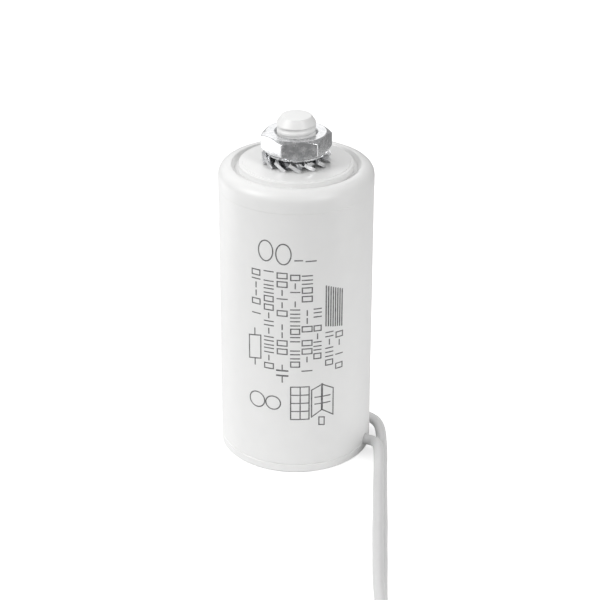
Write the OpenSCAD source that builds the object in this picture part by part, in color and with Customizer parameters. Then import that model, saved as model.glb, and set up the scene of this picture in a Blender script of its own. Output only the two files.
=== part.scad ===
// Motor run capacitor: a wound film element potted in a round plastic case. The case has a
// moulded M8 stud on its closed end, with a fan-toothed lock washer and a hex nut on it. A
// base lid closes the other end, and two insulated leads leave through notches above the lid.
// Millimetres, +Z up, origin at the centre of the base.

/* [Case] */
// Outer diameter of the case
case_d = 30; // [26:0.5:40]
// Length from the base to the flat rim round the top
case_l = 60; // [48:1:90]
// Thickness of the side wall
wall_t = 1.3; // [1:0.1:2]
// Thickness of the end wall that carries the stud
end_t = 2.4; // [1.8:0.1:4]
// Radius of the rounded edge round the top
edge_r = 2.1; // [1.2:0.1:3]
// Height of the slightly thicker band round the top
band_h = 4.2; // [3.2:0.1:8]
// How far that band stands out from the side
band_step = 0.06; // [0.02:0.02:0.2]

/* [Top face] */
// Width of the flat rim inside the rounded edge
rim_w = 0.5; // [0.2:0.1:2]
// Width of the groove inside the rim, at its mouth
groove_w = 1.4; // [0.8:0.1:2]
// Depth of the groove below the rim
groove_h = 0.9; // [0.4:0.1:1.2]
// How far the groove's outer wall leans outwards
groove_lean = 0.7; // [0.1:0.1:0.7]
// Height of the seating disc above the rim
disc_h = 0.5; // [0.2:0.1:2]
// Width of the low step round the seating disc
disc_step_w = 0.7; // [0.3:0.1:1.5]
// Height of that step below the disc
disc_step_h = 0.12; // [0.04:0.02:0.18]

/* [Stud] */
// Outer diameter of the stud's thread
stud_d = 7.8; // [6:0.1:9.6]
// Height of the stud above the rim
stud_h = 9.8; // [9:0.1:20]
// Width of the bevel round the stud's tip
stud_tip_w = 1; // [0.4:0.1:1.9]
// Height of that bevel
stud_tip_h = 1.5; // [0.5:0.1:2]
// Depth of each of the two flats moulded along the thread
stud_flat_h = 0.2; // [0.05:0.05:1]
// Depth from the outside of the thread to the cylinder on which stud and nut meet
thread_depth = 0.3; // [0.1:0.05:0.5]

/* [Nut] */
// Width of the nut across its flats
nut_af = 13; // [12.4:0.1:17]
// Height of the nut
nut_h = 4.15; // [3:0.05:6]
// Width of the bevel on both faces of the nut, from the flats inwards
nut_bevel_w = 0.7; // [0.3:0.05:1]
// Angle of that bevel to the face
nut_bevel_a = 30; // [15:1:35]
// How far the nut is turned on the stud
nut_turn = 4.75; // [0:0.25:60]
// Clearance between the stud and the nut's bore, all round
thread_gap = 0.05; // [0.02:0.01:0.1]
// How far the bevelled mouths of the nut's bore stand clear of the stud's full diameter
nut_mouth = 0.3; // [0.1:0.05:0.6]

/* [Lock washer] */
// Outer diameter of the washer over its teeth
washer_d = 13.2; // [12:0.1:16]
// Width of the plain ring that the teeth grow from
washer_ring_w = 0.85; // [0.5:0.05:1.2]
// Clearance of the washer's hole round the stud
washer_gap = 0.25; // [0.1:0.05:0.4]
// Thickness of the sheet
washer_t = 0.7; // [0.5:0.05:0.9]
// Number of twisted teeth
tooth_n = 14; // [10:1:14]
// Width of one tooth
tooth_w = 2.55; // [2:0.05:2.6]
// Twist of a tooth out of the sheet's plane
tooth_twist = 33; // [25:1:45]
// Turn of the whole washer on the stud
washer_turn = -2.8; // [-15:0.1:15]

/* [Base lid] */
// Thickness of the lid's flange
lid_h = 1.9; // [1.4:0.1:3]
// Thickness of the lid's floor inside the plug
floor_t = 1.4; // [1:0.1:2.5]
// Height of the plug that fits into the case
plug_h = 2.6; // [1.5:0.1:3]
// Wall thickness of that plug
plug_t = 1; // [0.7:0.1:1.5]
// Clearance between the plug and the case
plug_gap = 0.1; // [0.05:0.05:0.2]
// Bevel of both parts along the seam
seam_bevel = 0.15; // [0.05:0.05:0.3]
// Bevel round the bottom edge
foot_bevel = 0.35; // [0.1:0.05:0.6]
// Diameter of the moulding gate's dimple under the lid
gate_d = 3; // [1:0.5:5]
// Depth of that dimple
gate_h = 0.3; // [0.1:0.1:0.6]

/* [Film element] */
// Outer diameter of the hollow core that the film is wound on
core_d = 7; // [5.5:0.5:9]
// Wall thickness of the core
core_t = 1.2; // [0.8:0.1:1.4]
// Thickness of the sprayed metal contact on each end of the winding
contact_t = 0.5; // [0.3:0.1:1]
// Space between the upper contact and the case's end wall
head_space = 2.7; // [2.6:0.1:16]
// Space between the lid's plug and the lower contact, for the resistor and the leads' ends
foot_space = 4.5; // [4:0.1:10]
// Space between the winding and the case wall, filled with resin
winding_gap = 1.2; // [0.8:0.1:2]

/* [Leads] */
// Outer diameter of a lead's insulation
lead_d = 2.1; // [1.7:0.1:2.4]
// Diameter of a lead's solid copper conductor
conductor_d = 1; // [0.6:0.1:1.2]
// Clearance of the notches round the leads
notch_gap = 0.1; // [0.05:0.05:0.2]
// Bare length at each lead's far end
strip_l = 7; // [4:1:12]

/* [Discharge resistor] */
// Diameter of the resistor's body
resistor_d = 2.6; // [1.8:0.1:3.2]
// Length of the resistor's body
resistor_l = 7; // [5:0.5:8]
// Diameter of its wires
resistor_wire_d = 0.6; // [0.4:0.1:0.8]

/* [Coil of spare lead] */
// Radius of the outermost turn, at its middle
coil_r = 13.4; // [12:0.1:15]
// Clearance between one turn and the next
turn_gap = 0.1; // [0:0.05:0.3]
// Turns of each lead in the coil
turn_n = 2.25; // [2.25:1:3.25]
// Width of the tie's strap
tie_w = 2.5; // [2:0.1:4]
// Thickness of the tie's strap
tie_t = 0.35; // [0.3:0.05:0.6]

/* [Hidden] */

$fn = 96;
eps = 0.01;

case_r = case_d / 2;
band_r = case_r + band_step;
rim_r = band_r - edge_r - rim_w;
disc_r = rim_r - groove_w;
disc_z = case_l + disc_h;
cavity_r = case_r - wall_t;
cavity_z = case_l - groove_h - end_t;
cavity_round = 1;

stud_r = stud_d / 2;
stud_z = case_l + stud_h;
meet_r = stud_r - thread_depth;
bore_r = meet_r + thread_gap;
hole_r = stud_r + washer_gap;
washer_ring_r = hole_r + washer_ring_w;
// The free thread starts this far above the nut.
free_gap = 0.1;

// A twisted tooth's own height sets how high the nut sits.
washer_h = tooth_w * sin(tooth_twist) + washer_t * cos(tooth_twist);
nut_z = disc_z + washer_h;

winding_r = cavity_r - winding_gap;
terminal_z = lid_h + plug_h + foot_space;
winding_z = terminal_z + contact_t;
upper_z = cavity_z - head_space - contact_t;
winding_l = upper_z - winding_z;
resin_gap = 0.05;

// The two leads' routes, from inside the case to the coil, point by point.
front_route = [
    [10.1, -3.4, 2.4], [12, -4.5, 2.4], [13.9, -5.6, 2.4], [14.7, -6.1, 2.5], [15.5, -6.9, 2.7],
    [16.1, -8, 2.9], [16.4, -9.5, 3.1], [16.5, -12, 3.1], [16.4, -16, 3.1], [16.1, -22, 3.1],
    [15.8, -28, 3.1], [15.6, -34, 3.1], [15.3, -40, 3.1], [15.1, -46, 3.1], [14.9, -52, 3.1],
    [14.8, -58, 3.2], [14.9, -64, 3.4], [15.2, -70, 3.6], [15.3, -77, 3.6]
];
rear_route = [
    [10.9, 6.1, 2.4], [12.7, 4.9, 2.4], [14.5, 3.7, 2.4], [15.5, 3.1, 2.3], [16.4, 2.2, 2.1],
    [17, 1, 1.8], [17.3, -0.6, 1.5], [17.4, -3, 1.2], [17.4, -6, 1.1], [17.3, -10, 1.1],
    [17.1, -14, 1.1], [16.9, -19, 1.1], [16.7, -24, 1.1], [16.5, -30, 1.1], [16.3, -36, 1.1],
    [16, -42, 1.1], [15.8, -48, 1.1], [15.5, -54, 1.1], [15.3, -60, 1.1], [15.2, -66, 1.3],
    [15.3, -72, 1.5], [15.3, -77, 1.5]
];
// Where each lead comes off the coil's innermost turn, seen from above.
tail_route = [[1.9, -90.5], [0.2, -90.3], [-1.3, -89.4], [-2.3, -88.1], [-2.7, -86.6], [-2.7, -85.4]];
exit_at = 2;
coil_x = 1.9;
coil_y = -82;
front_coil_z = 3.6;
rear_coil_z = 1.5;
turn_pitch = lead_d + turn_gap;
coil_out_r = coil_r + turn_pitch / 2;
coil_in_r = coil_r - turn_n * turn_pitch - turn_pitch / 2;
coil_low = rear_coil_z - turn_pitch / 2;
coil_top = front_coil_z + turn_pitch / 2;
tie_angle = -50;
tie_gap = 0.05;

// Where the inner wires run: how far each goes on straight inside its lead's end, the upright
// plane in which the rear one goes out over the upper contact, and its reach there.
front_reach = 2.8;
rear_reach = 1.8;
over_angle = 35;
over_reach = 8;
wire_bend_r = 1.5;
tap_z = terminal_z - 3;
resistor_at = [1, -7.2, tap_z];
tap_side_x = -4.5;
solder_r = 1.6;
solder_tip_r = 0.9;
solder_h = 1.3;
tap_solder_r = 0.9;

notch_d = lead_d + 2 * notch_gap;
notch_reach = 6;

// Unit vector along a lead where it passes the wall.
function heading(route) =
    let (v = route[exit_at] - route[exit_at - 1])
    [v.x, v.y, 0] / norm([v.x, v.y, 0]);

// Direction of a route at point i, as the mean of the steps before and after it.
function step(a, b) = (b - a) / norm(b - a);
function along(route, i) =
    let (
        n = len(route) - 1,
        v = step(route[max(i - 1, 0)], route[i == 0 ? 1 : i])
            + step(route[i == n ? n - 1 : i], route[min(i + 1, n)])
    )
    v / norm(v);

// One ring of a swept tube: r around point i, square to the route there. The route never runs
// along the vector side.
function tube_ring(route, i, r, sides, side) =
    let (
        t = along(route, i),
        u = cross(side, t) / norm(cross(side, t)),
        v = cross(t, u)
    )
    [for (k = [0 : sides - 1]) let (a = 360 * k / sides) route[i] + r * (cos(a) * u + sin(a) * v)];

// Tube along a route, closed by a flat face at each end.
module swept_tube(route, d, side = [0, 0, 1], sides = 8) {
    n = len(route);
    points = [for (i = [0 : n - 1]) each tube_ring(route, i, d / 2, sides, side)];
    side_faces = [
        for (i = [0 : n - 2], k = [0 : sides - 1])
            let (a = i * sides + k, b = i * sides + (k + 1) % sides)
            [a, a + sides, b + sides, b]
    ];
    start_face = [for (k = [0 : sides - 1]) k];
    end_face = [for (k = [sides - 1 : -1 : 0]) (n - 1) * sides + k];
    polyhedron(points, concat(side_faces, [start_face, end_face]));
}

// A route with each corner rounded to radius r, in two steps.
function rounded(route, r) =
    let (n = len(route) - 1)
    [
        route[0],
        for (i = [1 : n - 1])
            let (
                from = step(route[i - 1], route[i]),
                to = step(route[i], route[i + 1]),
                half = acos(from * to) / 2
            )
            each [
                route[i] - r * tan(half) * from,
                route[i] + r * (1 / cos(half) - 1) * (to - from) / (2 * sin(half)),
                route[i] + r * tan(half) * to
            ],
        route[n]
    ];

// The case's outline from its axis outwards, with the stud left off.
module case_outline() {
    difference() {
        union() {
            translate([0, lid_h])
                square([case_r, case_l - band_h - lid_h + eps]);
            translate([0, case_l - band_h])
                square([band_r, band_h - edge_r]);
            translate([0, case_l - edge_r - eps])
                square([band_r - edge_r, edge_r + eps]);
            translate([band_r - edge_r, case_l - edge_r])
                circle(edge_r);
            disc_outline();
        }
        groove_outline();
        cavity_outline();
        // bevel along the seam with the lid
        translate([case_r, lid_h])
            rotate(45)
                square(seam_bevel * sqrt(2), center = true);
    }
}

module disc_outline() {
    translate([0, case_l - edge_r])
        square([disc_r, edge_r + disc_h - disc_step_h]);
    translate([0, case_l - edge_r])
        square([disc_r - disc_step_w, edge_r + disc_h]);
}

module groove_outline() {
    polygon([
        [disc_r, case_l - groove_h],
        [rim_r - groove_lean, case_l - groove_h],
        [rim_r, case_l],
        [rim_r, case_l + disc_h + 1],
        [disc_r, case_l + disc_h + 1]
    ]);
}

module cavity_outline() {
    translate([-1, -1])
        square([cavity_r + 1, cavity_z - cavity_round + 1]);
    translate([-1, cavity_z - cavity_round - eps])
        square([cavity_r - cavity_round + 1, cavity_round + eps]);
    translate([cavity_r - cavity_round, cavity_z - cavity_round])
        circle(cavity_round);
}

// Slot for one lead, open downwards so that the case lifts off its mould.
module lead_notch(route) {
    at = route[exit_at];
    translate(at)
        rotate([0, 0, atan2(heading(route).y, heading(route).x)]) {
            rotate([0, 90, 0])
                cylinder(d = notch_d, h = 2 * notch_reach, center = true);
            translate([-notch_reach, -notch_d / 2, -at.z])
                cube([2 * notch_reach, notch_d, at.z]);
        }
}

// The stud is at its full diameter where its thread is free, and at the cylinder on which the
// two threads meet inside the nut.
module stud() {
    nut_top = nut_z + nut_h;
    free_z = nut_top + free_gap;
    intersection() {
        rotate_extrude()
            polygon([
                [0, case_l], [stud_r, case_l], [stud_r, nut_z],
                [meet_r, nut_z + thread_depth], [meet_r, free_z - thread_depth],
                [stud_r, free_z], [stud_r, stud_z - stud_tip_h],
                [stud_r - stud_tip_w, stud_z], [0, stud_z]
            ]);
        translate([stud_flat_h - stud_r, -stud_d, case_l])
            cube([2 * (stud_r - stud_flat_h), 2 * stud_d, stud_h]);
    }
}

module case() {
    color("whitesmoke")
        union() {
            difference() {
                rotate_extrude()
                    case_outline();
                lead_notch(front_route);
                lead_notch(rear_route);
            }
            stud();
        }
}

// Saddle for one lead in the lid: the lower part of its round hole, open above in the plug.
module lead_saddle(route) {
    translate(route[exit_at])
        rotate([0, 0, atan2(heading(route).y, heading(route).x)]) {
            rotate([0, 90, 0])
                cylinder(d = notch_d, h = 2 * notch_reach, center = true);
            translate([-notch_reach, -notch_d / 2, 0])
                cube([2 * notch_reach, notch_d, plug_h]);
        }
}

module base_lid() {
    plug_r = cavity_r - plug_gap;
    color("white")
        difference() {
            rotate_extrude()
                polygon([
                    [0, 0], [case_r - foot_bevel, 0], [case_r, foot_bevel],
                    [case_r, lid_h - seam_bevel], [case_r - seam_bevel, lid_h],
                    [plug_r, lid_h], [plug_r, lid_h + plug_h],
                    [plug_r - plug_t, lid_h + plug_h], [plug_r - plug_t, floor_t], [0, floor_t]
                ]);
            translate([0, 0, -1])
                cylinder(d = gate_d, h = 1 + gate_h);
            lead_saddle(front_route);
            lead_saddle(rear_route);
        }
}

// One tooth: a strip that stands out from the ring and is twisted about its own length.
module tooth() {
    inner_r = washer_ring_r - 0.4;
    translate([inner_r, 0, washer_h / 2])
        rotate([-tooth_twist, 0, 0])
            translate([0, -tooth_w / 2, -washer_t / 2])
                cube([washer_d / 2 - inner_r + 1, tooth_w, washer_t]);
}

module lock_washer() {
    color("silver")
        translate([0, 0, disc_z])
            rotate([0, 0, washer_turn - 90])
                intersection() {
                    difference() {
                        union() {
                            translate([0, 0, (washer_h - washer_t) / 2])
                                cylinder(r = washer_ring_r, h = washer_t);
                            for (i = [0 : tooth_n - 1])
                                rotate([0, 0, 360 * i / tooth_n])
                                    tooth();
                        }
                        translate([0, 0, -1])
                            cylinder(r = hole_r, h = washer_h + 2);
                    }
                    translate([0, 0, -1])
                        cylinder(d = washer_d, h = washer_h + 2);
                }
}

module hex_nut() {
    corner_r = nut_af / 2 / cos(30);
    bevel_r = nut_af / 2 - nut_bevel_w;
    bevel_z = (corner_r - bevel_r) * tan(nut_bevel_a);
    mouth_r = stud_r + nut_mouth;
    mouth_h = mouth_r - bore_r;
    color("gainsboro")
        translate([0, 0, nut_z])
            rotate([0, 0, nut_turn])
                difference() {
                    intersection() {
                        cylinder(r = corner_r, h = nut_h, $fn = 6);
                        rotate_extrude()
                            polygon([
                                [0, 0], [bevel_r, 0], [corner_r, bevel_z],
                                [corner_r, nut_h - bevel_z], [bevel_r, nut_h], [0, nut_h]
                            ]);
                    }
                    translate([0, 0, -1])
                        cylinder(r = bore_r, h = nut_h + 2);
                    translate([0, 0, -eps])
                        cylinder(r1 = mouth_r + eps, r2 = bore_r, h = mouth_h + eps);
                    translate([0, 0, nut_h - mouth_h])
                        cylinder(r1 = bore_r, r2 = mouth_r + eps, h = mouth_h + eps);
                }
}

// Ring round the core, used by the winding and its contacts.
module wound_ring(z, h) {
    translate([0, 0, z])
        difference() {
            cylinder(r = winding_r, h = h);
            translate([0, 0, -1])
                cylinder(d = core_d, h = h + 2);
        }
}

module film_winding() {
    color("lightsteelblue")
        wound_ring(winding_z, winding_l);
}

module winding_core() {
    color("dimgray")
        translate([0, 0, winding_z])
            difference() {
                cylinder(d = core_d, h = winding_l);
                translate([0, 0, -1])
                    cylinder(d = core_d - 2 * core_t, h = winding_l + 2);
            }
}

module lower_contact() {
    color("lightgray")
        wound_ring(terminal_z, contact_t);
}

module upper_contact() {
    color("lightgray")
        wound_ring(upper_z, contact_t);
}

// Point where a lead's conductor has run straight on from the end of its insulation.
function inner_end(route, reach) = route[0] - reach * step(route[0], route[1]);
function outward(a) = [cos(a), sin(a), 0];
front_joint = inner_end(front_route, front_reach);

// The front lead's conductor turns up to the lower contact.
module front_wire(grow = 0) {
    route = [front_route[0], front_joint, [front_joint.x, front_joint.y, terminal_z]];
    side = cross(heading(front_route), [0, 0, 1]);
    swept_tube(rounded(route, wire_bend_r), conductor_d + 2 * grow, side);
}

// The rear lead's goes in to the axis, up through the core and out over the upper contact.
module rear_wire(grow = 0) {
    over_z = upper_z + contact_t + conductor_d / 2;
    route = [
        rear_route[0],
        inner_end(rear_route, rear_reach),
        [0, 0, rear_route[0].z + conductor_d],
        [0, 0, over_z],
        over_reach * outward(over_angle) + [0, 0, over_z]
    ];
    side = cross(outward(over_angle), [0, 0, 1]);
    swept_tube(rounded(route, wire_bend_r), conductor_d + 2 * grow, side);
}

module conductor_front() {
    color("peru")
        front_wire();
}

module conductor_rear() {
    color("peru")
        rear_wire();
}

module resistor_body(grow = 0) {
    translate(resistor_at)
        rotate([0, 90, 0])
            cylinder(d = resistor_d + 2 * grow, h = resistor_l + 2 * grow, center = true, $fn = 32);
}

module discharge_resistor() {
    color("tan")
        resistor_body();
}

// The resistor's two wires, one to each conductor.
module tap_wires(grow = 0) {
    d = resistor_wire_d + 2 * grow;
    joint = [front_joint.x, front_joint.y, tap_z];
    half = [resistor_l / 2, 0, 0];
    front_tap = [
        resistor_at + half,
        [joint.x, resistor_at.y, tap_z],
        joint - [0, conductor_d / 2, 0]
    ];
    rear_tap = [
        resistor_at - half,
        [tap_side_x, resistor_at.y, tap_z],
        [tap_side_x, 0, tap_z],
        [-conductor_d / 2, 0, tap_z]
    ];
    swept_tube(rounded(front_tap, wire_bend_r), d);
    swept_tube(rounded(rear_tap, wire_bend_r), d);
}

module resistor_wires() {
    color("silver")
        tap_wires();
}

// Solder cones on the two contacts, and a bead at each end of the resistor's wires.
module solder_shapes(grow = 0) {
    lower = [front_joint.x, front_joint.y, terminal_z];
    upper = (over_reach - 1) * outward(over_angle) + [0, 0, upper_z + contact_t];
    translate(lower - [0, 0, solder_h + grow])
        cylinder(r1 = solder_tip_r + grow, r2 = solder_r + grow, h = solder_h + grow, $fn = 32);
    translate(upper)
        cylinder(r1 = solder_r + grow, r2 = solder_tip_r + grow, h = solder_h + grow, $fn = 32);
    for (joint = [[front_joint.x, front_joint.y, tap_z], [0, 0, tap_z]])
        translate(joint)
            cylinder(r = tap_solder_r + grow, h = 2 * (tap_solder_r + grow), center = true, $fn = 32);
}

module solder_joints() {
    color("gray")
        difference() {
            solder_shapes();
            front_wire();
            rear_wire();
            tap_wires();
        }
}

// Resin fills the case round everything that it holds.
module potting_resin() {
    plug_in_r = cavity_r - plug_gap - plug_t - resin_gap;
    plug_top = lid_h + plug_h + resin_gap;
    color("darkkhaki")
        difference() {
            union() {
                translate([0, 0, floor_t + resin_gap])
                    cylinder(r = plug_in_r, h = plug_top - floor_t);
                translate([0, 0, plug_top])
                    cylinder(r = cavity_r - resin_gap, h = cavity_z - cavity_round - plug_top);
            }
            translate([0, 0, terminal_z - resin_gap])
                cylinder(r = winding_r + resin_gap, h = winding_l + 2 * (contact_t + resin_gap));
            lead_saddle(front_route);
            lead_saddle(rear_route);
            front_wire(resin_gap);
            rear_wire(resin_gap);
            tap_wires(resin_gap);
            resistor_body(resin_gap);
            solder_shapes(resin_gap);
        }
}

// A lead's free stretch and the short tail that leaves the coil.
module lead(route, coil_z) {
    color("whitesmoke") {
        swept_tube(route, lead_d);
        swept_tube([for (p = tail_route) [p.x, p.y, coil_z]], lead_d);
    }
}

module lead_front() {
    lead(front_route, front_coil_z);
}

module lead_rear() {
    lead(rear_route, rear_coil_z);
}

module lead_coil() {
    color("gainsboro")
        translate([coil_x, coil_y, coil_low])
            difference() {
                cylinder(r = coil_out_r, h = coil_top - coil_low);
                translate([0, 0, -1])
                    cylinder(r = coil_in_r, h = coil_top - coil_low + 2);
            }
}

module coil_tie() {
    in_r = sqrt(coil_in_r ^ 2 - (tie_w / 2) ^ 2) - tie_gap;
    out_r = coil_out_r + tie_gap;
    low = coil_low - tie_gap;
    top = coil_top + tie_gap;
    color("white")
        translate([coil_x, coil_y, 0])
            rotate([0, 0, tie_angle])
                difference() {
                    union() {
                        translate([in_r - tie_t, -tie_w / 2, low - tie_t])
                            cube([out_r - in_r + 2 * tie_t, tie_w, top - low + 2 * tie_t]);
                        translate([out_r, -tie_w * 0.7, low + 1])
                            cube([tie_w, tie_w * 1.4, tie_w * 1.2]);
                    }
                    translate([in_r, -tie_w, low])
                        cube([out_r - in_r, 2 * tie_w, top - low]);
                }
}

// Bare end of each conductor, straight on from the tail.
module stripped_ends() {
    last = tail_route[len(tail_route) - 1];
    color("peru")
        for (z = [front_coil_z, rear_coil_z])
            translate([last.x, last.y, z])
                rotate([-90, 0, 0])
                    cylinder(d = conductor_d, h = strip_l, $fn = 24);
}

case();
base_lid();
lock_washer();
hex_nut();
film_winding();
winding_core();
lower_contact();
upper_contact();
conductor_front();
conductor_rear();
discharge_resistor();
resistor_wires();
solder_joints();
potting_resin();
lead_front();
lead_rear();
lead_coil();
coil_tie();
stripped_ends();
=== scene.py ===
import math
import random

import bmesh
import bpy
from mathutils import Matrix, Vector


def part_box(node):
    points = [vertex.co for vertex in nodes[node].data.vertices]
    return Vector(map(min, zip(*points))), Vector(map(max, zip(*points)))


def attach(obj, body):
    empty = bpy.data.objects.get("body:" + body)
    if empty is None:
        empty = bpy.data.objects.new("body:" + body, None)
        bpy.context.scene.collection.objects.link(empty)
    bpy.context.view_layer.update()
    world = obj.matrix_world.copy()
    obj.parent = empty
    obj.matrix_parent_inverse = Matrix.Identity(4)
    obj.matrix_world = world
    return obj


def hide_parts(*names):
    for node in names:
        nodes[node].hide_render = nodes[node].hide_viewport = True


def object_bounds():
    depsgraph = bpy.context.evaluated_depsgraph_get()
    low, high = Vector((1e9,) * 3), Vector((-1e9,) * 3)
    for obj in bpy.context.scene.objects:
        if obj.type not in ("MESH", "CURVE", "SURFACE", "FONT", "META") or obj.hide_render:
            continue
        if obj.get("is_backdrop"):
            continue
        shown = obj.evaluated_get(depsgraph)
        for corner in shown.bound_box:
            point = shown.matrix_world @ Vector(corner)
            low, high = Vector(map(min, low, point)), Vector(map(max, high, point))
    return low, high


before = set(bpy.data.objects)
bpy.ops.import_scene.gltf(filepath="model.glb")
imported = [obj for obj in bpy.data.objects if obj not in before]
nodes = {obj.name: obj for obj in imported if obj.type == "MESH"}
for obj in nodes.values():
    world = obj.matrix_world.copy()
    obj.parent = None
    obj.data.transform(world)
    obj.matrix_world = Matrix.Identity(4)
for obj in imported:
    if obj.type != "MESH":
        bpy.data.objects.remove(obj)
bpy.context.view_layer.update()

# ---------------------------------------------------------------------------
# View: the capacitor stands on its closed base and is seen from in front and
# above, square to the side that carries the print.
camera = bpy.data.objects.new("camera", bpy.data.cameras.new("camera"))
camera.data.sensor_width = 36
camera.data.lens = 115.38
camera.location = (0, -0.34118, 0.19942)
camera.rotation_euler = (math.radians(63.702), math.radians(-0.166), math.radians(-0.051))
bpy.context.scene.collection.objects.link(camera)
bpy.context.scene.camera = camera

# ---------------------------------------------------------------------------
# Surfaces: every material takes its faint unevenness from one shared node group, worked out
# from the place on the object.
grain_group = bpy.data.node_groups.new("surface_grain", "ShaderNodeTree")
for label, kind in (("Dark", "Color"), ("Light", "Color"), ("Scale", "Float"), ("Relief", "Float")):
    grain_group.interface.new_socket(label, in_out="INPUT", socket_type="NodeSocket" + kind)
for label, kind in (("Color", "Color"), ("Value", "Float"), ("Normal", "Vector")):
    grain_group.interface.new_socket(label, in_out="OUTPUT", socket_type="NodeSocket" + kind)
grain_in = grain_group.nodes.new("NodeGroupInput")
grain_out = grain_group.nodes.new("NodeGroupOutput")
grain_place = grain_group.nodes.new("ShaderNodeTexCoord")
grain_noise = grain_group.nodes.new("ShaderNodeTexNoise")
grain_noise.inputs["Detail"].default_value = 3
grain_mix = grain_group.nodes.new("ShaderNodeMix")
grain_mix.data_type = "RGBA"
grain_bump = grain_group.nodes.new("ShaderNodeBump")
grain_bump.inputs["Distance"].default_value = 0.0001
grain_spread = grain_group.nodes.new("ShaderNodeMapRange")
grain_spread.inputs["From Min"].default_value = 0.3
grain_spread.inputs["From Max"].default_value = 0.7
for source, target in (
    (grain_place.outputs["Object"], grain_noise.inputs["Vector"]),
    (grain_in.outputs["Scale"], grain_noise.inputs["Scale"]),
    (grain_noise.outputs[0], grain_spread.inputs["Value"]),
    (grain_spread.outputs[0], grain_mix.inputs[0]),
    (grain_in.outputs["Dark"], grain_mix.inputs[6]),
    (grain_in.outputs["Light"], grain_mix.inputs[7]),
    (grain_in.outputs["Relief"], grain_bump.inputs["Strength"]),
    (grain_noise.outputs[0], grain_bump.inputs["Height"]),
    (grain_mix.outputs[2], grain_out.inputs["Color"]),
    (grain_spread.outputs[0], grain_out.inputs["Value"]),
    (grain_bump.outputs[0], grain_out.inputs["Normal"]),
):
    grain_group.links.new(source, target)


def new_material(name):
    """A material with its Principled shader, ready for its own nodes."""
    material = bpy.data.materials.new(name)
    material.use_nodes = True
    tree = material.node_tree
    return material, tree, tree.nodes["Principled BSDF"]


def grained(name, dark, light, scale, relief, roughness, metallic=0.0):
    """A material whose colour wanders between two tones, with a fine relief."""
    material, tree, shader = new_material(name)
    grain = tree.nodes.new("ShaderNodeGroup")
    grain.node_tree = grain_group
    grain.inputs["Dark"].default_value = (*dark, 1)
    grain.inputs["Light"].default_value = (*light, 1)
    grain.inputs["Scale"].default_value = scale
    grain.inputs["Relief"].default_value = relief
    tree.links.new(grain.outputs["Color"], shader.inputs["Base Color"])
    tree.links.new(grain.outputs["Normal"], shader.inputs["Normal"])
    low, high = roughness
    spread = tree.nodes.new("ShaderNodeMapRange")
    spread.inputs["To Min"].default_value = low
    spread.inputs["To Max"].default_value = high
    tree.links.new(grain.outputs["Value"], spread.inputs["Value"])
    tree.links.new(spread.outputs[0], shader.inputs["Roughness"])
    shader.inputs["Metallic"].default_value = metallic
    return material


def dress(node, material):
    """Gives a CAD node its material."""
    nodes[node].data.materials.clear()
    nodes[node].data.materials.append(material)

# ---------------------------------------------------------------------------
# Leads: two solid copper wires in white PVC insulation, 2.1 mm thick. They come out of the
# side just above the base and run forward, the front one on top of the rear one. The spare
# length is wound into one small coil, each lead on its own level.
lead_d = 0.0021
exit_at = 2
front_route = [
    (0.0101, -0.0034, 0.0024), (0.0120, -0.0045, 0.0024), (0.0139, -0.0056, 0.0024),
    (0.0147, -0.0061, 0.0025), (0.0155, -0.0069, 0.0027), (0.0161, -0.0080, 0.0029),
    (0.0164, -0.0095, 0.0031), (0.0165, -0.0120, 0.0031), (0.0164, -0.0160, 0.0031),
    (0.0161, -0.0220, 0.0031), (0.0158, -0.0280, 0.0031), (0.0156, -0.0340, 0.0031),
    (0.0153, -0.0400, 0.0031), (0.0151, -0.0460, 0.0031), (0.0149, -0.0520, 0.0031),
    (0.0148, -0.0580, 0.0032), (0.0149, -0.0640, 0.0034), (0.0152, -0.0700, 0.0036),
    (0.0153, -0.0770, 0.0036),
]
rear_route = [
    (0.0109, 0.0061, 0.0024), (0.0127, 0.0049, 0.0024), (0.0145, 0.0037, 0.0024),
    (0.0155, 0.0031, 0.0023), (0.0164, 0.0022, 0.0021), (0.0170, 0.0010, 0.0018),
    (0.0173, -0.0006, 0.0015), (0.0174, -0.0030, 0.0012), (0.0174, -0.0060, 0.0011),
    (0.0173, -0.0100, 0.0011), (0.0171, -0.0140, 0.0011), (0.0169, -0.0190, 0.0011),
    (0.0167, -0.0240, 0.0011), (0.0165, -0.0300, 0.0011), (0.0163, -0.0360, 0.0011),
    (0.0160, -0.0420, 0.0011), (0.0158, -0.0480, 0.0011), (0.0155, -0.0540, 0.0011),
    (0.0153, -0.0600, 0.0011), (0.0152, -0.0660, 0.0013), (0.0153, -0.0720, 0.0015),
    (0.0153, -0.0770, 0.0015),
]
tail_route = [
    (0.0019, -0.0905), (0.0002, -0.0903), (-0.0013, -0.0894), (-0.0023, -0.0881),
    (-0.0027, -0.0866), (-0.0027, -0.0854),
]
coil_centre = (0.0019, -0.082)
coil_r = 0.0134
turn_pitch = 0.0022
turns = 2.25
strip_l = 0.007
front_coil_z = 0.0036
rear_coil_z = 0.0015


def whole_route(route, coil_z):
    """The chosen points of one lead, from inside the case to the end of its insulation."""
    steps = round(turns * 24)
    coil = []
    for i in range(steps + 1):
        turn = turns * i / steps
        r, a = coil_r - turn_pitch * turn, -2 * math.pi * turn
        coil.append((coil_centre[0] + r * math.cos(a), coil_centre[1] + r * math.sin(a), coil_z))
    tail = [(x, y, coil_z) for x, y in tail_route[1:]]
    return [Vector(p) for p in [*route, *coil, *tail]]


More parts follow.
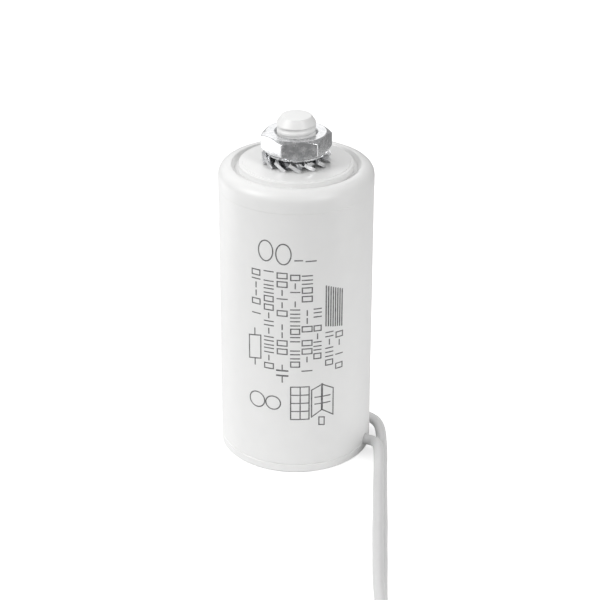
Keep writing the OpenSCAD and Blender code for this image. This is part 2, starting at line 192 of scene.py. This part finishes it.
def smooth_line(points, spacing):
    """A curve through the points, laid out again in even steps."""
    ends = [2 * points[0] - points[1], *points, 2 * points[-1] - points[-2]]
    fine = []
    for a, b, c, d in zip(ends, ends[1:], ends[2:], ends[3:]):
        for k in range(12):
            t = k / 12
            fine.append(0.5 * (2 * b + t * (c - a) + t * t * (2 * a - 5 * b + 4 * c - d)
                               + t ** 3 * (3 * b - 3 * c + d - a)))
    fine.append(points[-1])
    lengths = [0.0]
    for a, b in zip(fine, fine[1:]):
        lengths.append(lengths[-1] + (b - a).length)
    count = round(lengths[-1] / spacing)
    line, at = [], 0
    for i in range(count + 1):
        s = lengths[-1] * i / count
        while at < len(fine) - 2 and lengths[at + 1] < s:
            at += 1
        step = lengths[at + 1] - lengths[at]
        line.append(fine[at].lerp(fine[at + 1], (s - lengths[at]) / step if step else 0))
    return line, lengths[-1]


def tube_mesh(name, line, radius, sides):
    """A round tube swept along a line, closed at both ends."""
    mesh = bmesh.new()
    side, rings = None, []
    for i, p in enumerate(line):
        way = (line[min(i + 1, len(line) - 1)] - line[max(i - 1, 0)]).normalized()
        side = way.orthogonal() if side is None else side - side.dot(way) * way
        side.normalize()
        up = way.cross(side)
        rings.append([
            mesh.verts.new(p + radius * (math.cos(a) * side + math.sin(a) * up))
            for a in (2 * math.pi * k / sides for k in range(sides))
        ])
    for low, high in zip(rings, rings[1:]):
        for k in range(sides):
            mesh.faces.new((low[k], low[(k + 1) % sides], high[(k + 1) % sides], high[k]))
    mesh.faces.new(reversed(rings[0]))
    mesh.faces.new(rings[-1])
    for face in mesh.faces:
        face.smooth = len(face.verts) == 4
    data = bpy.data.meshes.new(name)
    mesh.to_mesh(data)
    piece = bpy.data.objects.new(name, data)
    bpy.context.scene.collection.objects.link(piece)
    return piece


lead_pvc = grained("lead_pvc", (0.66, 0.66, 0.66), (0.68, 0.68, 0.68), 500, 0.06, (0.34, 0.42))
bare_copper = grained("bare_copper", (0.62, 0.30, 0.17), (0.78, 0.40, 0.23), 900, 0.2, (0.24, 0.38), 1)

leads = []
for name, route, coil_z in (
    ("front_lead", front_route, front_coil_z),
    ("rear_lead", rear_route, rear_coil_z),
):
    line, length = smooth_line(whole_route(route, coil_z), lead_d / 3)
    lead = tube_mesh(name, line, lead_d / 2, 16)
    lead.data.materials.append(lead_pvc)
    tip = line[-1]
    bare_line = [tip + Vector((0, strip_l * k / 8, 0)) for k in range(9)]
    bare = tube_mesh(name + "_bare_end", bare_line, 0.0005, 16)
    bare.data.materials.append(bare_copper)
    leads.append((lead, bare, route, line, length))

for (lead, bare, route, line, length), node in zip(leads, ("lead_front", "lead_rear")):
    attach(lead, "root")
    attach(bare, "root")
    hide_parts(node, "lead_coil")
    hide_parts("stripped_ends")

# ---------------------------------------------------------------------------
# Case: one moulding of white flame-retardant plastic with the side wall, the groove and
# seating disc on top and the M8 stud. A band round the top is a hair thicker than the side.
# Two notches above the lid let the leads out.
case_r = 0.0150
case_low = 0.0019
case_top = 0.0600
band_r = 0.01506
band_low = 0.0558
stud_r = 0.0039
stud_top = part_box("case")[1].z
stud_flats = 0.0074
thread_pitch = 0.00125
thread_depth = 0.0002
disc_z = 0.0605
wall_turns = 144
axis_r = 1e-7


def rounded_outline(corners, steps=4):
    """An outline with each corner (radius, height, rounding) turned into a small arc."""
    outline = []
    for i, (r, z, rounding) in enumerate(corners):
        at = Vector((r, z))
        if not rounding:
            outline.append(at)
            continue
        back = (Vector(corners[i - 1][:2]) - at).normalized()
        on = (Vector(corners[i + 1][:2]) - at).normalized()
        half = back.angle(on) / 2
        middle = at + (back + on).normalized() * rounding / math.sin(half)
        start = (at + back * rounding / math.tan(half) - middle).normalized()
        end = (at + on * rounding / math.tan(half) - middle).normalized()
        outline += [middle + start.slerp(end, k / steps) * rounding for k in range(steps + 1)]
    return outline


def turned_mesh(name, outline, sides):
    """A solid turned round the Z axis from an outline that starts and ends on the axis."""
    mesh = bmesh.new()
    turns_round = [2 * math.pi * k / sides for k in range(sides)]
    rings = []
    for r, z in outline:
        if r < axis_r:
            rings.append([mesh.verts.new((0, 0, z))])
        else:
            rings.append([mesh.verts.new((r * math.cos(a), r * math.sin(a), z)) for a in turns_round])
    for low, high in zip(rings, rings[1:]):
        for k in range(sides):
            n = k + 1
            ring = [low[k % len(low)], low[n % len(low)], high[n % len(high)], high[k % len(high)]]
            corners = [v for n, v in enumerate(ring) if v not in ring[:n]]
            if len(corners) > 2:
                mesh.faces.new(corners).smooth = True
    bmesh.ops.recalc_face_normals(mesh, faces=mesh.faces)
    data = bpy.data.meshes.new(name)
    mesh.to_mesh(data)
    piece = bpy.data.objects.new(name, data)
    bpy.context.scene.collection.objects.link(piece)
    return piece


outer = [
    (0.01370, case_low, 0), (0.01485, case_low, 0), (case_r, 0.00205, 0.00005), (case_r, 0.0038, 0),
    (case_r, 0.0041, 0), (case_r, 0.0046, 0), (case_r, 0.0060, 0), (case_r, 0.0200, 0),
    (case_r, 0.0380, 0), (case_r, band_low - 0.00008, 0.00006), (band_r, band_low + 0.00008, 0.00006),
    (band_r, 0.0570, 0), (band_r, case_top, 0.0021), (0.01246, case_top, 0.00018),
    (0.01176, 0.0591, 0.00015), (0.01106, 0.0591, 0.00012), (0.01106, 0.06038, 0.00016),
    (0.01036, 0.06038, 0.00004), (0.01036, disc_z, 0.00007), (0.0070, disc_z, 0), (stud_r, disc_z, 0),
]
stud_rings = 92
tip_low = stud_top - 0.0015
outer += [(stud_r, disc_z + (tip_low - disc_z) * k / stud_rings, 0) for k in range(1, stud_rings)]
outer += [(stud_r - 0.001 * k / 18, tip_low + 0.0015 * k / 18, 0) for k in range(18)]
outer += [(0.0029, stud_top, 0.00012), (0, stud_top, 0)]
inner = [(0, 0.0567, 0), (0.0127, 0.0567, 0.0009), (0.0137, 0.0556, 0.0002), (0.0137, 0.0300, 0),
         (0.0137, 0.0060, 0), (0.0137, 0.0046, 0), (0.0137, 0.0041, 0), (0.0137, 0.0038, 0)]
case = turned_mesh("case_moulding", rounded_outline([*outer, *inner, outer[0]], 5), wall_turns)


def new_tree(name, inputs):
    """An empty Geometry Nodes tree with a Geometry input and output and named inputs."""
    tree = bpy.data.node_groups.new(name, "GeometryNodeTree")
    tree.interface.new_socket("Geometry", in_out="INPUT", socket_type="NodeSocketGeometry")
    for label, kind in inputs:
        tree.interface.new_socket(label, in_out="INPUT", socket_type="NodeSocket" + kind)
    tree.interface.new_socket("Geometry", in_out="OUTPUT", socket_type="NodeSocketGeometry")
    return tree, tree.nodes.new("NodeGroupInput"), tree.nodes.new("NodeGroupOutput")


def value_node(tree, operation, *values):
    """A Math node; each value is a number or the socket that feeds it."""
    node = tree.nodes.new("ShaderNodeMath")
    node.operation = operation
    for socket, value in zip(node.inputs, values):
        if isinstance(value, bpy.types.NodeSocket):
            tree.links.new(value, socket)
        else:
            socket.default_value = value
    return node.outputs[0]


def finish_tree(tree, geometry, material, output):
    """Every tree ends the same way: real geometry with its material set."""
    realize = tree.nodes.new("GeometryNodeRealizeInstances")
    paint = tree.nodes.new("GeometryNodeSetMaterial")
    tree.links.new(geometry, realize.inputs[0])
    tree.links.new(realize.outputs[0], paint.inputs["Geometry"])
    tree.links.new(material, paint.inputs["Material"])
    tree.links.new(paint.outputs[0], output.inputs[0])


def keep_shape(piece):
    """Keeps what the modifiers make as the piece's plain mesh."""
    evaluated = piece.evaluated_get(bpy.context.evaluated_depsgraph_get())
    made = bpy.data.meshes.new_from_object(evaluated)
    piece.modifiers.clear()
    old, piece.data = piece.data, made
    made.name = piece.name
    bpy.data.meshes.remove(old)


def run_tree(piece, tree, **values):
    """Puts a tree on a piece with its inputs set, and keeps what it makes as a plain mesh."""
    modifier = piece.modifiers.new("shape", "NODES")
    modifier.node_group = tree
    for item in tree.interface.items_tree:
        if item.in_out == "INPUT" and item.name.replace(" ", "_") in values:
            modifier[item.identifier] = values[item.name.replace(" ", "_")]
    keep_shape(piece)


# The thread: points of the plain stud are drawn in along a right-hand helix.
thread, given, result = new_tree("screw_thread", [
    ("Pitch", "Float"), ("Depth", "Float"), ("Outside Radius", "Float"), ("Start", "Float"),
    ("Across Flats", "Float"), ("Material", "Material"),
])
place = thread.nodes.new("GeometryNodeInputPosition")
split = thread.nodes.new("ShaderNodeSeparateXYZ")
thread.links.new(place.outputs[0], split.inputs[0])
x, y, z = split.outputs
radius = value_node(thread, "SQRT", value_node(
    thread, "ADD", value_node(thread, "MULTIPLY", x, x), value_node(thread, "MULTIPLY", y, y)))
turn = value_node(thread, "DIVIDE", value_node(thread, "ARCTAN2", y, x), 2 * math.pi)
phase = value_node(thread, "FRACT", value_node(
    thread, "SUBTRACT", value_node(thread, "DIVIDE", z, given.outputs["Pitch"]), turn))
away = value_node(thread, "ABSOLUTE", value_node(thread, "SUBTRACT", phase, 0.5))
groove = thread.nodes.new("ShaderNodeMapRange")
groove.interpolation_type = "SMOOTHSTEP"
thread.links.new(away, groove.inputs["Value"])
groove.inputs["From Min"].default_value = 0.40
groove.inputs["From Max"].default_value = 0.06
fade = thread.nodes.new("ShaderNodeMapRange")
thread.links.new(z, fade.inputs["Value"])
thread.links.new(given.outputs["Start"], fade.inputs["From Min"])
faded_in = value_node(thread, "ADD", given.outputs["Start"], given.outputs["Pitch"])
thread.links.new(faded_in, fade.inputs["From Max"])
full_cut = value_node(thread, "MULTIPLY", groove.outputs[0], given.outputs["Depth"])
cut = value_node(thread, "MULTIPLY", full_cut, fade.outputs[0])
threaded_r = value_node(thread, "SUBTRACT", given.outputs["Outside Radius"], cut)
target = value_node(thread, "MINIMUM", radius, threaded_r)
factor = value_node(thread, "DIVIDE", target, value_node(thread, "MAXIMUM", radius, 1e-6))
flat = value_node(thread, "MULTIPLY", given.outputs["Across Flats"], 0.5)
flat_x = value_node(thread, "MINIMUM", value_node(thread, "MULTIPLY", x, factor), flat)
flat_x = value_node(thread, "MAXIMUM", flat_x, value_node(thread, "MULTIPLY", flat, -1))
join = thread.nodes.new("ShaderNodeCombineXYZ")
thread.links.new(flat_x, join.inputs[0])
thread.links.new(value_node(thread, "MULTIPLY", y, factor), join.inputs[1])
thread.links.new(z, join.inputs[2])
above = value_node(thread, "GREATER_THAN", z, given.outputs["Start"])
near = value_node(thread, "MULTIPLY", given.outputs["Outside Radius"], 1.02)
on_stud = value_node(thread, "MULTIPLY", above, value_node(thread, "LESS_THAN", radius, near))
move = thread.nodes.new("GeometryNodeSetPosition")
thread.links.new(given.outputs["Geometry"], move.inputs["Geometry"])
thread.links.new(on_stud, move.inputs["Selection"])
thread.links.new(join.outputs[0], move.inputs["Position"])
finish_tree(thread, move.outputs[0], given.outputs["Material"], result)

case_plastic = grained(
    "case_plastic", (0.80, 0.80, 0.795), (0.815, 0.815, 0.81), 350, 0.05, (0.33, 0.40))
lid_plastic = grained(
    "lid_plastic", (0.79, 0.79, 0.785), (0.81, 0.81, 0.805), 350, 0.06, (0.38, 0.46))

run_tree(case, thread, Pitch=thread_pitch, Depth=thread_depth, Outside_Radius=stud_r,
         Start=disc_z - 0.0001, Across_Flats=stud_flats, Material=case_plastic)

# The notches: a slot with a round top for each lead, open towards the lid.
notch_d = 0.0023
notch_reach = 0.003
notch_low = 0.0012
for route in (front_route, rear_route):
    at = Vector(route[exit_at])
    way = Vector(route[exit_at + 1]) - Vector(route[exit_at - 1])
    way = Vector((way.x, way.y, 0)).normalized()
    side = Vector((-way.y, way.x, 0)) * notch_d / 2
    bends = [math.pi * k / 12 for k in range(13)]
    rise = Vector((0, 0, notch_d / 2))
    arch = [at + side * math.cos(bend) + rise * math.sin(bend) for bend in bends]
    arch += [Vector((*(at - side).xy, notch_low)), Vector((*(at + side).xy, notch_low))]
    mesh = bmesh.new()
    ends = [[mesh.verts.new(point + way * reach) for point in arch] for reach in (-notch_reach, notch_reach)]
    mesh.faces.new(ends[0])
    mesh.faces.new(ends[1])
    for k in range(len(arch)):
        n = (k + 1) % len(arch)
        mesh.faces.new((ends[0][k], ends[0][n], ends[1][n], ends[1][k]))
    bmesh.ops.recalc_face_normals(mesh, faces=mesh.faces)
    data = bpy.data.meshes.new("notch_cutter")
    mesh.to_mesh(data)
    cutter = bpy.data.objects.new("notch_cutter", data)
    bpy.context.scene.collection.objects.link(cutter)
    cut = case.modifiers.new("notch", "BOOLEAN")
    cut.object = cutter
    cut.solver = "EXACT"
    keep_shape(case)
    bpy.data.objects.remove(cutter)
case.data.set_sharp_from_angle(angle=math.radians(40))

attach(case, "root")
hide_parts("case")

dress("base_lid", lid_plastic)

# ---------------------------------------------------------------------------
# Hex nut: zinc-plated steel, turned with a bevel on top and a washer face below, its corners
# rounded by the forming. It holds the toothed washer down on the seating disc.
nut_low, nut_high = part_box("hex_nut")
nut_af = 0.0120
nut_corner_round = 0.0006
nut_face_r = 0.0058
nut_face_h = 0.00045
nut_mouth_r = 0.0042
nut_bore_r = 0.00365
nut_turn = math.radians(6)
bevel_slope = math.tan(math.radians(30))
side_steps = 10
corner_steps = 6


def hexagon_r(angle):
    """Distance from the middle to the side of a hexagon with rounded corners."""
    off_face = (angle % (math.pi / 3)) - math.pi / 6
    flat_end = (nut_af / 2 - nut_corner_round) * math.tan(math.pi / 6)
    if abs(math.tan(off_face)) <= flat_end / (nut_af / 2):
        return nut_af / 2 / math.cos(off_face)
    off_corner = math.pi / 6 - abs(off_face)
    middle = (nut_af / 2 - nut_corner_round) / math.cos(math.pi / 6)
    aside = middle * math.sin(off_corner)
    return middle * math.cos(off_corner) + math.sqrt(nut_corner_round**2 - aside**2)


flat_turn = math.atan((1 - 2 * nut_corner_round / nut_af) * math.tan(math.pi / 6))
corner_turn = math.pi / 6 - flat_turn
angles = []
for side in range(6):
    corner = side * math.pi / 3
    angles += [corner - corner_turn + 2 * corner_turn * k / corner_steps for k in range(corner_steps)]
    angles += [corner + corner_turn + 2 * flat_turn * k / side_steps for k in range(side_steps)]


def bevel_z(radius, from_r, from_z, way):
    """Height on a 30 degree bevel that starts at from_r, from_z."""
    return from_z + way * max(0.0, radius - from_r) * bevel_slope


top, bottom = nut_high.z, nut_low.z
mouth = nut_mouth_r - nut_bore_r
rings = (
    (lambda a: nut_bore_r, lambda r: top - mouth),
    (lambda a: nut_mouth_r, lambda r: top),
    (lambda a: nut_face_r, lambda r: top),
    (hexagon_r, lambda r: bevel_z(r, nut_face_r, top, -1)),
    (hexagon_r, lambda r: bevel_z(r, nut_face_r, bottom + nut_face_h, 1)),
    (lambda a: nut_face_r, lambda r: bottom + nut_face_h),
    (lambda a: nut_face_r, lambda r: bottom),
    (lambda a: nut_mouth_r, lambda r: bottom),
    (lambda a: nut_bore_r, lambda r: bottom + mouth),
)
mesh = bmesh.new()
loops = []
for radius, height in rings:
    loop = []
    for angle in angles:
        r = radius(angle)
        turned = angle + nut_turn
        loop.append(mesh.verts.new((r * math.cos(turned), r * math.sin(turned), height(r))))
    loops.append(loop)
for low, high in zip(loops, loops[1:] + loops[:1]):
    for k in range(len(angles)):
        n = (k + 1) % len(angles)
        mesh.faces.new((low[k], low[n], high[n], high[k]))
bmesh.ops.recalc_face_normals(mesh, faces=mesh.faces)
data = bpy.data.meshes.new("hex_nut_plated")
mesh.to_mesh(data)
nut = bpy.data.objects.new("hex_nut_plated", data)
bpy.context.scene.collection.objects.link(nut)
nut.data.shade_smooth()
rounding = nut.modifiers.new("rounding", "BEVEL")
rounding.width = 0.00010
rounding.segments = 3
rounding.angle_limit = math.radians(20)
rounding.harden_normals = True
keep_shape(nut)
zinc = grained("zinc_plate", (0.55, 0.56, 0.57), (0.78, 0.78, 0.79), 1100, 0.30, (0.18, 0.32), 1)
nut.data.materials.append(zinc)
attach(nut, "root")
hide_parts("hex_nut")

# ---------------------------------------------------------------------------
# Lock washer: stamped from spring steel and zinc plated, with 14 teeth twisted out of its plane.
# Its CAD solid already has the twisted teeth.
washer_zinc = grained(
    "washer_zinc", (0.60, 0.61, 0.62), (0.84, 0.84, 0.85), 900, 0.25, (0.14, 0.26), 1)
dress("lock_washer", washer_zinc)

# ---------------------------------------------------------------------------
# Print: grey ink rolled on the side of the case. It is generic: rows of plain marks where a
# rating would stand, a resistor and a capacitor symbol, rings, boxes and a hatched block.
ink_d = 0.00024
ink_lift = 0.000012
print_mesh = bmesh.new()


def stroke(x0, y0, x1, y1, width=ink_d):
    """A straight mark between two points of the unrolled side, as short flat pieces."""
    start, end = Vector((x0, y0)) / 1000, Vector((x1, y1)) / 1000
    along = (end - start).normalized()
    side = Vector((-along.y, along.x)) * width / 2
    start, end = start - along * width / 2, end + along * width / 2
    pieces = max(1, math.ceil((end - start).length / 0.0006))
    last = None
    for k in range(pieces + 1):
        at = start.lerp(end, k / pieces)
        pair = [print_mesh.verts.new((*(at - side), 0)), print_mesh.verts.new((*(at + side), 0))]
        if last:
            print_mesh.faces.new((last[0], pair[0], pair[1], last[1]))
        last = pair


def outline(corners):
    """A closed outline of strokes."""
    for (x0, y0), (x1, y1) in zip(corners, corners[1:] + corners[:1]):
        stroke(x0, y0, x1, y1)


def ring(x, y, wide, high, steps=36):
    """An oval ring of strokes."""
    bends = [2 * math.pi * k / steps for k in range(steps)]
    outline([(x + wide / 2 * math.cos(bend), y + high / 2 * math.sin(bend)) for bend in bends])


def mark_row(x, top, bottom, high, seed):
    """A row of plain marks that runs down the side: bars, pairs of bars and small frames."""
    dice = random.Random(seed)
    y = top
    while y - 1.3 > bottom:
        kind = dice.randrange(4)
        if kind == 0:
            stroke(x, y - 0.2, x + high, y - 0.2)
            y -= 0.9
        elif kind == 1:
            outline([(x, y - 0.1), (x + high, y - 0.1), (x + high, y - 1.2), (x, y - 1.2)])
            y -= 1.8
        elif kind == 2:
            stroke(x, y - 0.1, x + high, y - 0.1)
            stroke(x, y - 1.0, x + high, y - 1.0)
            y -= 1.6
        else:
            stroke(x + high / 2, y - 0.1, x + high / 2, y - 1.1)
            y -= 1.7
        if dice.random() < 0.22:
            y -= 1.2


for row in (
    (-8.8, 43.8, 33.3, 1.7, 1), (-6.2, 44.0, 22.9, 1.8, 2), (-3.6, 43.8, 26.0, 1.9, 3),
    (-1.0, 43.5, 23.2, 1.7, 4), (1.2, 43.3, 20.2, 1.9, 5), (3.5, 36.3, 25.2, 1.4, 6),
    (5.9, 30.8, 21.6, 1.5, 7), (8.1, 30.4, 21.4, 1.5, 8),
):
    mark_row(*row)
ring(-5.9, 48.0, 2.9, 4.2)
ring(-2.4, 47.6, 2.9, 4.2)
stroke(-0.2, 46.4, 1.2, 46.4)
stroke(1.9, 46.2, 3.8, 46.2)
# resistor: a frame with a tail at each end
outline([(-9.6, 29.4), (-7.0, 29.9), (-7.0, 24.9), (-9.6, 24.4)])
stroke(-8.3, 29.7, -8.3, 31.1)
stroke(-8.3, 24.6, -8.3, 23.3)
# capacitor: two plates across a line
stroke(-3.7, 22.9, -1.6, 22.9, 0.00034)
stroke(-3.7, 21.8, -1.6, 21.8, 0.00034)
stroke(-2.65, 24.1, -2.65, 22.9)
stroke(-2.65, 21.8, -2.65, 20.4)
ring(-7.9, 15.7, 3.3, 3.3)
ring(-4.5, 15.6, 3.0, 2.9)
for x in (-1.0, 0.85, 2.6):
    stroke(x, 12.2, x, 19.4)
for y in (12.2, 14.0, 15.8, 17.6, 19.4):
    stroke(-1.0, y, 2.6, y)
outline([(3.1, 18.6), (5.2, 19.6), (7.6, 18.3), (7.6, 12.4), (5.2, 14.0), (3.1, 12.6)])
stroke(5.2, 19.6, 5.2, 14.0, 0.0004)
stroke(3.8, 16.9, 6.9, 16.9)
stroke(3.8, 15.4, 6.9, 15.4)
outline([(4.6, 12.4), (5.7, 12.2), (5.7, 10.5), (4.6, 10.7)])
for k in range(8):
    stroke(5.9 + 0.5 * k, 40.6 - 0.2 * k, 5.9 + 0.5 * k, 32.2 - 0.1 * k, 0.00028)

data = bpy.data.meshes.new("print")
print_mesh.to_mesh(data)
ink_marks = bpy.data.objects.new("print", data)
bpy.context.scene.collection.objects.link(ink_marks)

# The flat marks are bent round the side of the case.
wrap, given, result = new_tree(
    "wrap_round_case", [("Radius", "Float"), ("Middle", "Float"), ("Material", "Material")])
place = wrap.nodes.new("GeometryNodeInputPosition")
split = wrap.nodes.new("ShaderNodeSeparateXYZ")
wrap.links.new(place.outputs[0], split.inputs[0])
bend = value_node(wrap, "DIVIDE", split.outputs[0], given.outputs["Radius"])
angle = value_node(wrap, "ADD", bend, given.outputs["Middle"])
join = wrap.nodes.new("ShaderNodeCombineXYZ")
for socket, operation in zip(join.inputs, ("COSINE", "SINE")):
    part = value_node(wrap, operation, angle)
    wrap.links.new(value_node(wrap, "MULTIPLY", part, given.outputs["Radius"]), socket)
wrap.links.new(split.outputs[1], join.inputs[2])
move = wrap.nodes.new("GeometryNodeSetPosition")
wrap.links.new(given.outputs["Geometry"], move.inputs["Geometry"])
wrap.links.new(join.outputs[0], move.inputs["Position"])
finish_tree(wrap, move.outputs[0], given.outputs["Material"], result)

ink = grained("print_ink", (0.07, 0.07, 0.075), (0.22, 0.22, 0.22), 1500, 0.0, (0.45, 0.6))
run_tree(ink_marks, wrap, Radius=case_r + ink_lift, Middle=-math.pi / 2, Material=ink)
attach(ink_marks, "root")

# ---------------------------------------------------------------------------
# Inside and far end: the film winding on its core, the sprayed contacts, the resistor, the
# solder and the resin keep their CAD shapes, as does the nylon tie round the coiled leads.
for node, name, dark, light, scale, relief, roughness, metallic in (
    ("film_winding", "metallised_film", (0.55, 0.56, 0.58), (0.70, 0.71, 0.73), 400, 0.1, (0.2, 0.3), 0.6),
    ("winding_core", "core_plastic", (0.72, 0.70, 0.64), (0.78, 0.76, 0.70), 500, 0.1, (0.4, 0.5), 0),
    ("discharge_resistor", "resistor_coat", (0.10, 0.16, 0.24), (0.14, 0.22, 0.32), 900, 0.1, (0.3, 0.4), 0),
    ("resistor_wires", "tinned_wire", (0.66, 0.66, 0.65), (0.78, 0.78, 0.77), 900, 0.1, (0.25, 0.35), 1),
    ("solder_joints", "solder", (0.52, 0.52, 0.52), (0.68, 0.68, 0.68), 900, 0.3, (0.25, 0.45), 1),
    ("potting_resin", "resin", (0.10, 0.09, 0.08), (0.15, 0.14, 0.12), 300, 0.1, (0.25, 0.4), 0),
    ("coil_tie", "tie_nylon", (0.74, 0.74, 0.72), (0.80, 0.80, 0.78), 600, 0.12, (0.35, 0.45), 0),
):
    dress(node, grained(name, dark, light, scale, relief, roughness, metallic))
sprayed_metal = grained(
    "sprayed_metal", (0.40, 0.40, 0.41), (0.60, 0.60, 0.61), 1800, 0.8, (0.5, 0.7), 1)
for node in ("lower_contact", "upper_contact"):
    dress(node, sprayed_metal)
for node in ("conductor_front", "conductor_rear"):
    dress(node, bare_copper)

# ---------------------------------------------------------------------------
# Studio: the part stands on a pale floor that turns dark grey further out in front and on the right;
# that dark grey is painted shade for the nut and the case to reflect, and camera rays still see the floor
# white.
# The main softbox is high on the left, a second one stands behind and a weaker one in front on the right,
# and two small ones low beside the part brighten the nut's left side and its right edge.
floor = bpy.data.objects.new("floor", bpy.data.meshes.new("floor"))
floor.data.from_pydata([(-3, -3, 0), (3, -3, 0), (3, 3, 0), (-3, 3, 0)], [], [(0, 1, 2, 3)])
bpy.context.scene.collection.objects.link(floor)
floor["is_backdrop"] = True
floor_paper, tree, shader = new_material("floor_paper")
shader.inputs["Roughness"].default_value = 0.9
place = tree.nodes.new("ShaderNodeTexCoord")
away = tree.nodes.new("ShaderNodeVectorMath")
away.operation = "DISTANCE"
away.inputs[1].default_value = (-0.06, 0.06, 0)
tree.links.new(place.outputs["Object"], away.inputs[0])


def painted_shade_fade(near, far):
    """A value that goes from near to far between 0.15 and 0.20 m from the floor's pale middle, where the
    painted shade begins.
    """
    fade = tree.nodes.new("ShaderNodeMapRange")
    tree.links.new(away.outputs["Value"], fade.inputs["Value"])
    for label, value in (("From Min", 0.15), ("From Max", 0.20), ("To Min", near), ("To Max", far)):
        fade.inputs[label].default_value = value
    return fade.outputs[0]


# Painted shade: the base colour falls from 0.80 to 0.25 beyond the pale middle, a dark floor for the nut and
# the case to reflect and to take less bounce light from. For camera rays the emission rises from 0.58 to
# 0.92 to match, so the floor still looks white.
tree.links.new(painted_shade_fade(0.80, 0.25), shader.inputs["Base Color"])
tree.links.new(painted_shade_fade(0.58, 0.92), shader.inputs["Emission Color"])
rays = tree.nodes.new("ShaderNodeLightPath")
tree.links.new(rays.outputs["Is Camera Ray"], shader.inputs["Emission Strength"])
floor.data.materials.append(floor_paper)

world = bpy.data.worlds.new("world")
bpy.context.scene.world = world
world.use_nodes = True
sky = world.node_tree.nodes["Background"]
sky.inputs["Color"].default_value = (0.42, 0.42, 0.42, 1)


def soft_light(name, azimuth, height, distance, size, power):
    """A square softbox at an azimuth and height in degrees, turned towards the part."""
    turn, lift = math.radians(azimuth), math.radians(height)
    aim = Vector((0, 0, 0.04))
    level = distance * math.cos(lift)
    place = aim + Vector((level * math.cos(turn), level * math.sin(turn), distance * math.sin(lift)))
    light = bpy.data.objects.new(name, bpy.data.lights.new(name, "AREA"))
    light.data.shape = "RECTANGLE"
    light.data.size, light.data.size_y = size
    light.data.energy = power
    light.location = place
    light.rotation_mode = "QUATERNION"
    light.rotation_quaternion = (aim - place).to_track_quat("-Z", "Y")
    bpy.context.scene.collection.objects.link(light)


soft_light("main_light", 200, 36, 0.55, (0.30, 0.30), 1.7)
soft_light("back_light", 115, 38, 0.60, (0.75, 0.50), 1.2)
soft_light("front_light", -48, 30, 0.60, (0.12, 0.40), 1.3)
soft_light("left_light", 160, -8, 0.13, (0.10, 0.04), 0.015)
soft_light("right_light", -20, -6, 0.14, (0.05, 0.05), 0.014)
bpy.context.scene.view_settings.view_transform = "Standard"

low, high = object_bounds()
